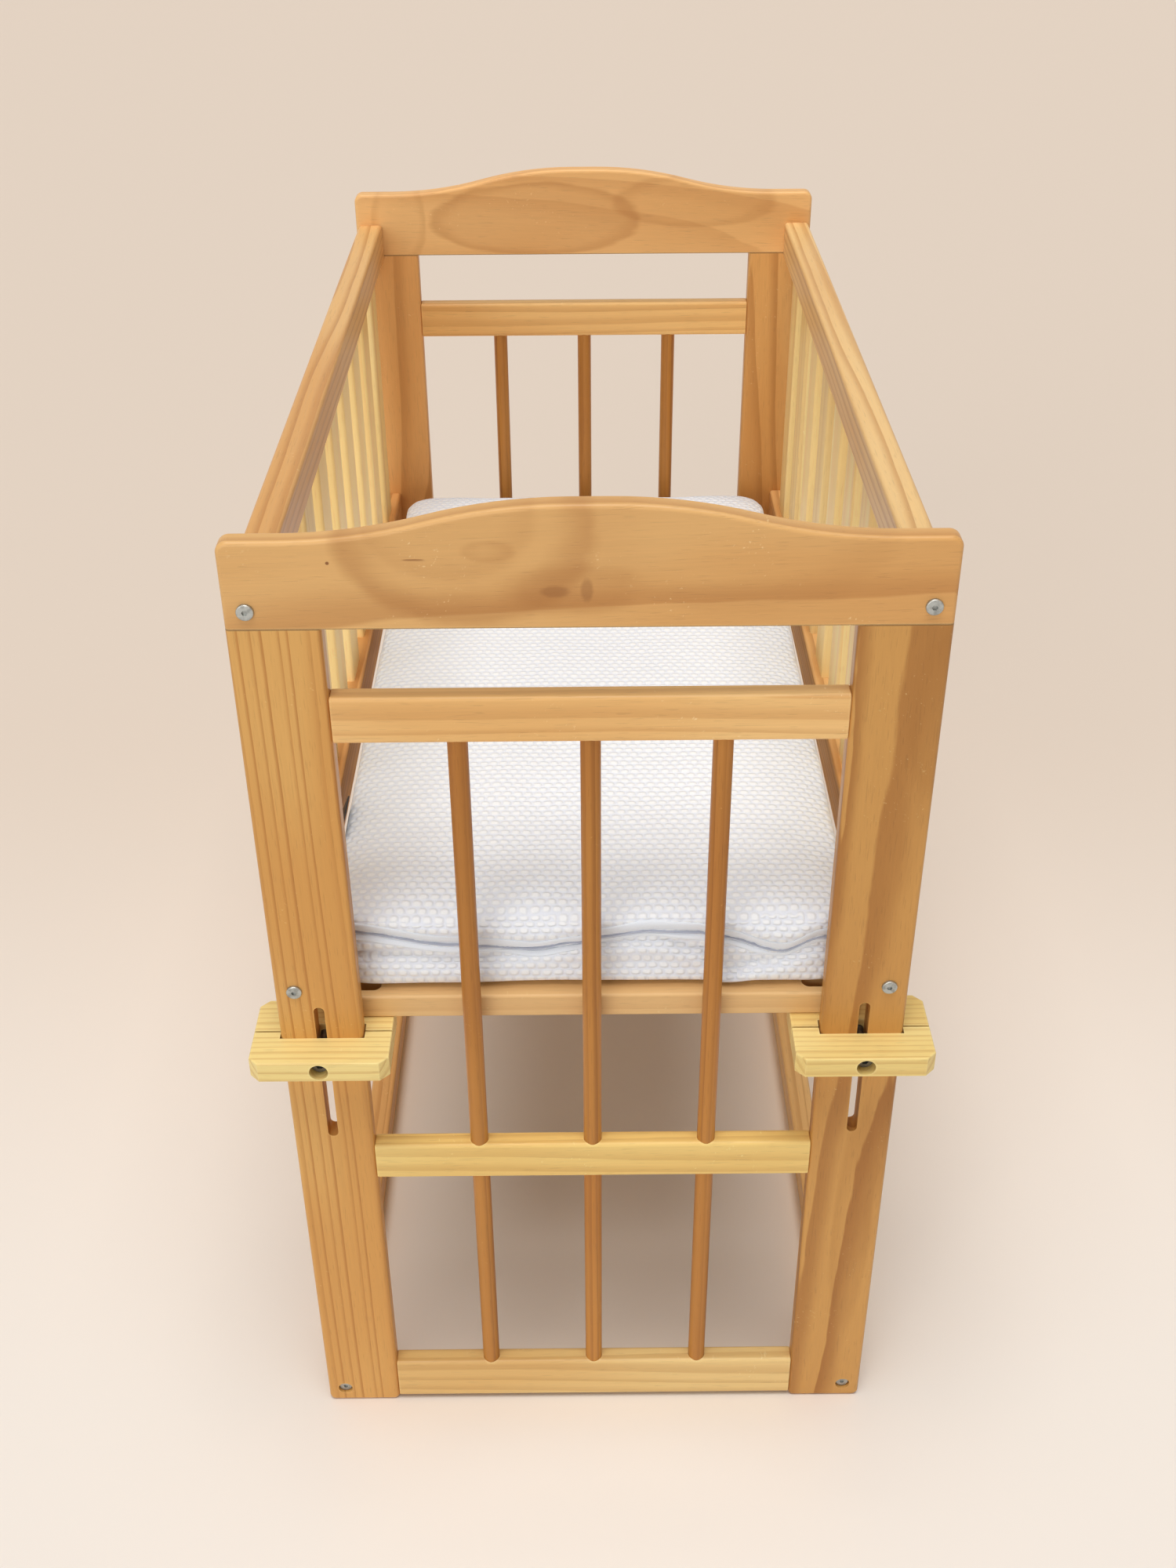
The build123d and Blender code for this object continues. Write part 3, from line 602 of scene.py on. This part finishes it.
coverValues = {
    # the even skin and its swelling
    "voxel": 0.009,
    "pressure": 3.0,
    "cap": 0.004,
    "frames": 20,
    # the cushion's rounded form
    "inset": 0.0015,
    "corner": 0.034,
    "topRim": 0.012,
    "bottomRim": 0.007,
    "crown": 0.003,
    "draw": 0.002,
    "foot": 0.0055,
    "footHeight": 0.026,
    # the bulge past the inner faces of the side rails, above their top edges
    "railTop": 0.5745,
    "railRise": 0.006,
    "bulgeFrom": 0.200,
    "bulgeWidth": 0.028,
    "overhang": 0.004,
    "sideReach": 0.2335,
    # where the zip runs on the front end: x and height, in metres
    "zip": [
        (-0.30, 0.5685), (-0.20, 0.5680), (-0.115, 0.5555), (-0.095, 0.553), (-0.049, 0.548),
        (-0.0125, 0.555), (0.004, 0.563), (0.050, 0.5685), (0.0896, 0.5660), (0.1095, 0.561),
        (0.163, 0.546), (0.195, 0.560), (0.30, 0.567),
    ],
    # the fold under the zip
    "fold": [
        (-0.30, 0.545), (-0.195, 0.541), (-0.109, 0.536), (-0.060, 0.541), (-0.0126, 0.549), (0.050, 0.556),
        (0.090, 0.545), (0.1115, 0.520), (0.150, 0.532), (0.1966, 0.546), (0.30, 0.548),
    ],
    # swells and dips along those lines: the line, height over it, width and push outwards
    "swells": [
        ("zip", 0.013, 0.009, 0.0045), ("zip", -0.004, 0.005, -0.0025), ("between", 0.0, 0.006, 0.0025),
        ("fold", 0.0, 0.005, -0.0040), ("fold", -0.010, 0.008, 0.0035),
    ],
    # slack in the cloth: how often it turns in a metre, and how high it is
    "frontSlack": (11.0, 22.0, 0.0022),
    "slack": [(16.0, 0.0012), (55.0, 0.0004)],
    "floorGap": 0.0003,
}


def heightAlong(points, x):
    # smooth line through a few points
    for (x0, z0), (x1, z1) in zip(points, points[1:]):
        if x <= x1 or x1 == points[-1][0]:
            t = min(max((x - x0) / (x1 - x0), 0.0), 1.0)
            t = t * t * (3 - 2 * t)
            return z0 + (z1 - z0) * t


def dip(distance, width):
    return math.exp(-((distance / width) ** 2))


def makeCoverShell(v):
    low, high = [Vector(c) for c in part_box("mattress")]
    shell = bmesh.new()
    bmesh.ops.create_cube(shell, size=1.0)
    size = high - low - Vector((2 * v["inset"], 2 * v["inset"], v["crown"] + v["inset"]))
    bmesh.ops.scale(shell, vec=size, verts=shell.verts)
    bmesh.ops.translate(shell, vec=(0, 0, low.z + size.z / 2), verts=shell.verts)
    upright = [e for e in shell.edges if abs(e.verts[0].co.z - e.verts[1].co.z) > 0.01]
    bmesh.ops.bevel(shell, geom=upright, offset=v["corner"], segments=8, profile=0.5, affect="EDGES", material=-1)
    for level, radius in ((low.z + size.z, v["topRim"]), (low.z, v["bottomRim"])):
        rim = [
            e for e in shell.edges
            if all(abs(p.co.z - level) < 1e-5 for p in e.verts)
            and any(abs(f.normal.z) < 0.1 for f in e.link_faces)
        ]
        bmesh.ops.bevel(shell, geom=rim, offset=radius, segments=6, profile=0.5, affect="EDGES", material=-1)
    return shell


def bakeModifiers(obj):
    graph = bpy.context.evaluated_depsgraph_get()
    mesh = bpy.data.meshes.new_from_object(obj.evaluated_get(graph))
    obj.modifiers.clear()
    obj.data = mesh


def puffUp(obj, v):
    # pressure swells the cover, and no point moves further than the cap
    start = [p.co.copy() for p in obj.data.vertices]
    cloth = obj.modifiers.new("puff", "CLOTH")
    cloth.settings.use_pressure = True
    cloth.settings.uniform_pressure_force = v["pressure"]
    cloth.settings.effector_weights.gravity = 0.0
    cloth.settings.quality = 5
    cloth.point_cache.frame_start = 1
    cloth.point_cache.frame_end = v["frames"]
    for number in range(1, v["frames"] + 1):
        bpy.context.scene.frame_set(number)
    bakeModifiers(obj)
    bpy.context.scene.frame_set(1)
    for point, old in zip(obj.data.vertices, start):
        move = point.co - old
        if move.length > v["cap"]:
            point.co = old + move * (v["cap"] / move.length)


def frontPush(p, v):
    # how far the cover swells or dips at a point of the front end
    lines = {"zip": heightAlong(v["zip"], p.x), "fold": heightAlong(v["fold"], p.x)}
    lines["between"] = (lines["zip"] + lines["fold"]) / 2
    push = sum(out * dip(p.z - lines[line] - over, width) for line, over, width, out in v["swells"])
    alongX, alongZ, high = v["frontSlack"]
    return push + high * noise.noise(Vector((p.x * alongX, p.z * alongZ, 4.0)))


def share(value):
    return min(max(value, 0.0), 1.0)


def shapeCover(obj, v):
    low, high = [Vector(c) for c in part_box("mattress")]
    half = high.to_2d()
    normals = [point.normal.copy() for point in obj.data.vertices]
    for point, n in zip(obj.data.vertices, normals):
        p = point.co
        across = min(abs(p.x) / half.x, 1.0)
        down = min(abs(p.y) / half.y, 1.0)
        level = (p.z - low.z) / (high.z - low.z)
        if n.z > 0.2:
            p.z += v["crown"] * (1 - across**4) * (1 - down**4)
        side = max(0.0, 1.0 - abs(n.z))
        flat = Vector((n.x, n.y, 0))
        if flat.length > 1e-4:
            flat.normalize()
            p -= flat * v["draw"] * side * (1 - (2 * level - 1) ** 2)
            spill = max(0.0, 1.0 - (p.z - low.z) / v["footHeight"])
            p += flat * v["foot"] * spill * min(1.0, 2.5 * side)
        if n.y < -0.25 and p.y < -0.36:
            p.y -= frontPush(p, v) * min(1.0, -n.y * 1.3)
        wave = sum(noise.noise(p * turns) * high for turns, high in v["slack"])
        if n.z > -0.4:
            p += n * wave
        p.z = max(p.z, low.z + v["floorGap"])
        # above the side rails the cover bulges a little past their inner faces
        over = share((p.z - v["railTop"]) / v["railRise"])
        over *= share((abs(p.x) - v["bulgeFrom"]) / v["bulgeWidth"])
        p.x += math.copysign(v["overhang"] * over * max(0.0, 1 - down**6), p.x)
        reach = v["sideReach"] + v["overhang"] * over
        p.x = min(max(p.x, -reach), reach)


def unfoldCover(obj):
    # knit coordinates in metres: the sides hang down from the top's edges
    low, high = [Vector(c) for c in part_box("mattress")]
    layer = obj.data.uv_layers.new(name="knit")
    for face in obj.data.polygons:
        n = face.normal
        for corner in face.loop_indices:
            p = obj.data.vertices[obj.data.loops[corner].vertex_index].co
            drop = high.z - p.z
            if abs(n.z) >= max(abs(n.x), abs(n.y)):
                spot = (p.x, p.y)
            elif abs(n.y) >= abs(n.x):
                spot = (p.x, p.y + math.copysign(drop, p.y))
            else:
                spot = (p.x + math.copysign(drop, p.x), p.y)
            layer.data[corner].uv = spot


knitValues = {
    "cellWidth": 0.0095,
    "rowHeight": 0.0075,
    "warpScale": 60.0,
    "warp": 0.0035,
    "power": 2.6,
    "root": 0.38,
    "cellEdges": (0.45, 1.02),
    "weave": (1500, 900, 1),
    "weaveShow": 0.12,
    # painted shade: the hollows between the cells are a darker blue-grey than the cells
    "valleyShade": screen(236, 242, 252),
    "cell": screen(248, 252, 255),
    "bump": 0.62,
    "bumpDepth": 0.0015,
}


def makeKnit(v):
    # raised cells in brick rows, with a thin fabric weave over them
    tree, given, result = newGroup("honeycombKnit", {"Vector": "Vector"}, {"Cells": "Float", "Height": "Float"})
    warp = vec(tree, "SUBTRACT", speckle(tree, given["Vector"], v["warpScale"], 2.0, "Color"), halfway)
    warp = vec(tree, "SCALE", warp, scale=v["warp"])
    parts = addNode(tree, "SeparateXYZ")
    plug(tree, parts.inputs[0], vec(tree, "ADD", given["Vector"], warp))
    row = calc(tree, "DIVIDE", parts.outputs["Y"], v["rowHeight"])
    odd = calc(tree, "MULTIPLY", calc(tree, "MODULO", calc(tree, "FLOOR", row), 2.0), 0.5)
    column = calc(tree, "ADD", calc(tree, "DIVIDE", parts.outputs["X"], v["cellWidth"]), odd)
    # how far from the cell's middle, measured round a rounded square
    powers = []
    for along in (column, row):
        away = calc(tree, "ABSOLUTE", calc(tree, "SUBTRACT", calc(tree, "FRACT", along), 0.5))
        powers.append(calc(tree, "POWER", calc(tree, "MULTIPLY", away, 2.0), v["power"]))
    far = calc(tree, "POWER", calc(tree, "ADD", *powers), v["root"])
    cells = smooth(tree, far, *v["cellEdges"], 1.0, 0.0)
    weave = speckle(tree, vec(tree, "MULTIPLY", given["Vector"], v["weave"]), 1.0, 1.0)
    plug(tree, result["Cells"], cells)
    plug(tree, result["Height"], calc(tree, "ADD", cells, calc(tree, "MULTIPLY", weave, v["weaveShow"])))
    return tree


def makeCoverMaterial(v):
    material, tree, shader = newMaterial("honeycombCotton")
    uv = addNode(tree, "UVMap", uv_map="knit").outputs[0]
    knit = useGroup(tree, makeKnit(v), {"Vector": uv})
    # the cells keep the light colour, the hollows between them take a painted shade
    plug(tree, shader.inputs["Base Color"], mixColor(tree, knit["Cells"], v["valleyShade"], v["cell"]))
    shader.inputs["Roughness"].default_value = 0.85
    shader.inputs["Sheen Weight"].default_value = 0.15
    shader.inputs["Sheen Roughness"].default_value = 0.5
    addBump(tree, shader, knit["Height"], v["bump"], v["bumpDepth"])
    return material


def makeMattress():
    v = coverValues
    cover = meshObject("mattressCover", makeCoverShell(v))
    remesh = cover.modifiers.new("even", "REMESH")
    remesh.mode = "VOXEL"
    remesh.voxel_size = v["voxel"]
    bakeModifiers(cover)
    puffUp(cover, v)
    smoothing = cover.modifiers.new("relax", "SMOOTH")
    smoothing.factor = 0.5
    smoothing.iterations = 3
    finer = cover.modifiers.new("finer", "SUBSURF")
    finer.levels = finer.render_levels = 1
    bakeModifiers(cover)
    shapeCover(cover, v)
    unfoldCover(cover)
    for face in cover.data.polygons:
        face.use_smooth = True
    giveMaterial(cover, makeCoverMaterial(knitValues))
    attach(cover, "mattress")
    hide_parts("mattress")
    return cover


mattressCover = makeMattress()
print("mattress cover done:", len(mattressCover.data.polygons), "faces")

zipValues = {
    "step": 0.004,
    "turn": 0.35,
    "reach": 0.05,
    "sink": 0.0012,
    # middle above the zip's line, half height, lift of the edges and of the crown
    "strips": {
        "mattressZipFlap": (0.0020, 0.0045, 0.0004, 0.0011),
        "mattressZipTape": (-0.0090, 0.0022, 0.0003, 0.0005),
        "mattressZipCoil": (-0.0048, 0.0011, 0.0002, 0.0011),
    },
    "across": 7,
}


def frontOutline(step, turn):
    # points along the front end and into its corners, each with the way that it faces
    half = Vector(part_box("mattress")[1]).to_2d()
    r = coverValues["corner"]
    x, y = half.x - r, half.y - r
    corners = [(x, -y, -90), (x, y, 0), (-x, y, 90), (-x, -y, 180)]
    spots = []
    for number, (cx, cy, begin) in enumerate(corners):
        turns = int(r * math.pi / 2 / step)
        for n in range(turns):
            a = math.radians(begin + 90 * n / turns)
            facing = Vector((math.cos(a), math.sin(a), 0))
            spots.append((Vector((cx, cy, 0)) + facing * r, facing))
        a = math.radians(begin + 90)
        facing = Vector((math.cos(a), math.sin(a), 0))
        nextX, nextY, _ = corners[(number + 1) % 4]
        start = Vector((cx, cy, 0)) + facing * r
        end = Vector((nextX, nextY, 0)) + facing * r
        count = int((end - start).length / step)
        spots += [(start.lerp(end, n / count), facing) for n in range(count)]
    return sorted([s for s in spots if s[1].y < -turn], key=lambda s: s[0].x)


def makeZipStrip(name, spots, skin, v):
    middle, half, edgeLift, crownLift = v["strips"][name]
    rows = []
    for place, facing in spots:
        level = heightAlong(coverValues["zip"], place.x)
        row = []
        for n in range(v["across"]):
            t = 2 * n / (v["across"] - 1) - 1
            spot = Vector((place.x, place.y, level + middle + t * half))
            hit = skin.ray_cast(spot + facing * v["reach"], -facing)[0]
            out = (hit - spot).dot(facing) if hit else 0.0
            row.append([spot, out, edgeLift + crownLift * (1 - t * t)])
        rows.append(row)
    shell = bmesh.new()
    rings = []
    total = len(rows)
    for number, (row, (place, facing)) in enumerate(zip(rows, spots)):
        ring = []
        for n, (spot, out, lift) in enumerate(row):
            near = [rows[min(max(number + d, 0), total - 1)][n][1] for d in (-2, -1, 0, 1, 2)]
            ring.append(spot + facing * (sum(near) / 5 + lift))
        ring.append(ring[-1] - facing * v["sink"])
        ring.append(ring[0] - facing * v["sink"])
        rings.append([shell.verts.new(p) for p in ring])
    size = len(rings[0])
    for a, b in zip(rings, rings[1:]):
        for n in range(size):
            m = (n + 1) % size
            face = shell.faces.new((a[n], b[n], b[m], a[m]))
            face.smooth = n < v["across"] - 1
    shell.faces.new(rings[0])
    shell.faces.new(rings[-1])
    bmesh.ops.recalc_face_normals(shell, faces=shell.faces)
    return meshObject(name, shell)


def makeTapeMaterial(name, tone):
    material, tree, shader = newMaterial(name)
    coords = addNode(tree, "TexCoord").outputs["Object"]
    weave = speckle(tree, coords, 1400.0, 1.0)
    color = mixColor(tree, weave, screen(*[c - 8 for c in tone]), screen(*tone))
    plug(tree, shader.inputs["Base Color"], color)
    shader.inputs["Roughness"].default_value = 0.8
    addBump(tree, shader, weave, 0.3, 0.0002)
    return material


def makeZip(cover, v):
    mesh = cover.data
    points = [p.co.copy() for p in mesh.vertices]
    skin = BVHTree.FromPolygons(points, [list(f.vertices) for f in mesh.polygons])
    spots = frontOutline(v["step"], v["turn"])
    tape = makeTapeMaterial("zipTape", (240, 247, 255))
    coil = makeTapeMaterial("zipCoil", (186, 192, 208))
    for name in v["strips"]:
        strip = makeZipStrip(name, spots, skin, v)
        giveMaterial(strip, coil if name.endswith("Coil") else tape)
        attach(strip, "mattress")


makeZip(mattressCover, zipValues)
print("zip done")

tagValues = {
    "middle": -0.2895,
    "length": 0.048,
    "root": (-0.2265, 0.5780),
    "tip": (-0.2205, 0.5925),
    "tail": 0.004,  # how far both ends run on into the seam
    "gap": 0.0009,
    "thick": 0.0004,
    "steps": 12,
    "wave": 0.0006,
    "black": screen(18, 18, 22),
    "rib": screen(34, 34, 40),
    "ribs": (900, 5200, 900),
}


def makeSideTag(v):
    # a plain ribbon folded double, its fold outwards, sewn into the side seam
    root, tip = Vector(v["root"]), Vector(v["tip"])
    along = (tip - root).normalized()
    across = Vector((-along.y, along.x))
    length = (tip - root).length
    gap, flat = v["gap"], length - v["gap"]
    path = [root - along * v["tail"] + across * gap]
    path += [root + along * flat * t + across * gap for t in (0.3, 0.65, 0.9)]
    path += [
        tip - along * gap + along * gap * math.cos(a) + across * gap * math.sin(a)
        for a in (math.radians(60), 0.0, math.radians(-60))
    ]
    path += [root + along * flat * t - across * gap for t in (0.9, 0.65, 0.3)]
    path += [root - along * v["tail"] - across * gap]
    shell = bmesh.new()
    rows = []
    for n in range(v["steps"] + 1):
        y = v["middle"] + v["length"] * (n / v["steps"] - 0.5)
        wave = v["wave"] * math.sin(n * 0.9)
        rows.append([shell.verts.new((p.x, y, p.y + wave)) for p in path])
    for a, b in zip(rows, rows[1:]):
        for n in range(len(path) - 1):
            shell.faces.new((a[n], a[n + 1], b[n + 1], b[n])).smooth = True
    bmesh.ops.recalc_face_normals(shell, faces=shell.faces)
    bmesh.ops.solidify(shell, geom=shell.faces[:], thickness=v["thick"])
    tag = meshObject("mattressSideTag", shell)
    material, tree, shader = newMaterial("tagRibbon")
    coords = addNode(tree, "TexCoord").outputs["Object"]
    ribs = speckle(tree, vec(tree, "MULTIPLY", coords, v["ribs"]), 1.0, 1.0)
    plug(tree, shader.inputs["Base Color"], mixColor(tree, ribs, v["black"], v["rib"]))
    shader.inputs["Roughness"].default_value = 0.5
    giveMaterial(tag, material)
    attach(tag, "mattress")


makeSideTag(tagValues)
print("side tag done")


studioValues = {
    "floorSize": 30.0,
    # the floor runs from one paper tone to the other between these depths
    "near": screen(243, 235, 226),
    "far": screen(229, 213, 197),
    "depths": (-0.70, 0.85),
    "skyTint": (0.94, 0.98, 1.07, 1),
    "skyStrength": 0.11,
}


def makeFloor(v):
    shell = bmesh.new()
    bmesh.ops.create_grid(shell, x_segments=1, y_segments=1, size=v["floorSize"])
    floor = meshObject("floor", shell)
    material, tree, shader = newMaterial("paleFloor")
    parts = addNode(tree, "SeparateXYZ")
    plug(tree, parts.inputs[0], addNode(tree, "TexCoord").outputs["Object"])
    color = mixColor(tree, smooth(tree, parts.outputs["Y"], *v["depths"]), v["near"], v["far"])
    plug(tree, shader.inputs["Base Color"], color)
    shader.inputs["Roughness"].default_value = 0.9
    shader.inputs["Specular IOR Level"].default_value = 0.1
    giveMaterial(floor, material)


def makeWorld(v):
    # dim light from all round, with the paper's tone where the camera sees past the floor
    world = bpy.data.worlds.new("studio")
    bpy.context.scene.world = world
    world.use_nodes = True
    tree = world.node_tree
    tree.nodes.clear()
    lit = addNode(tree, "Background")
    lit.inputs["Color"].default_value = v["skyTint"]
    lit.inputs["Strength"].default_value = v["skyStrength"]
    seen = addNode(tree, "Background")
    seen.inputs["Color"].default_value = v["far"]
    path = addNode(tree, "LightPath").outputs
    shiny = calc(tree, "MAXIMUM", path["Is Glossy Ray"], path["Is Transmission Ray"])
    direct = calc(tree, "MAXIMUM", path["Is Camera Ray"], shiny)
    blend = addNode(tree, "MixShader")
    plug(tree, blend.inputs[0], direct)
    plug(tree, blend.inputs[1], lit.outputs[0])
    plug(tree, blend.inputs[2], seen.outputs[0])
    plug(tree, addNode(tree, "OutputWorld").inputs[0], blend.outputs[0])


def addSun(name, azimuth, height, strength, spread, toneAndLightTint=(1, 1, 1)):
    # azimuth 0 shines from the front, 90 from the right
    light = bpy.data.lights.new(name, "SUN")
    light.color = toneAndLightTint
    light.energy = strength
    light.angle = math.radians(spread)
    lamp = bpy.data.objects.new(name, light)
    a, e = math.radians(azimuth), math.radians(height)
    back = Vector((math.sin(a) * math.cos(e), -math.cos(a) * math.cos(e), math.sin(e)))
    lamp.rotation_euler = back.to_track_quat("Z", "Y").to_euler()
    bpy.context.scene.collection.objects.link(lamp)


cameraValues = {
    "place": (-0.0060, -1.5723, 1.4642),
    "yaw": 0.20,
    "pitch": 33.40,
    "roll": -0.37,
    "focal": 2184.9,  # in pixels of a picture as high as below
    "picture": 2000.0,
    "sensor": 36.0,
}


def makeCamera(v):
    data = bpy.data.cameras.new("camera")
    data.sensor_fit = "VERTICAL"
    data.sensor_height = v["sensor"]
    data.lens = v["focal"] * v["sensor"] / v["picture"]
    data.clip_start, data.clip_end = 0.05, 100.0
    camera = bpy.data.objects.new("camera", data)
    yaw, pitch, roll = (math.radians(v[k]) for k in ("yaw", "pitch", "roll"))
    level = Vector((math.sin(yaw), math.cos(yaw), 0))
    ahead = level * math.cos(pitch) - Vector((0, 0, math.sin(pitch)))
    right = Vector((math.cos(yaw), -math.sin(yaw), 0))
    up = right.cross(ahead)
    c, s = math.cos(roll), math.sin(roll)
    right, up = right * c + up * s, up * c - right * s
    camera.matrix_world = Matrix((right, up, -ahead)).transposed().to_4x4()
    camera.location = v["place"]
    bpy.context.scene.collection.objects.link(camera)
    bpy.context.scene.camera = camera


makeFloor(studioValues)
makeWorld(studioValues)
addSun("key", -14, 82, 2.5, 42, (1.0, 0.985, 0.965))
addSun("fill", -20, 16, 1.0, 40)
makeCamera(cameraValues)
view = bpy.context.scene.view_settings
view.view_transform = "Standard"
print("stage done")
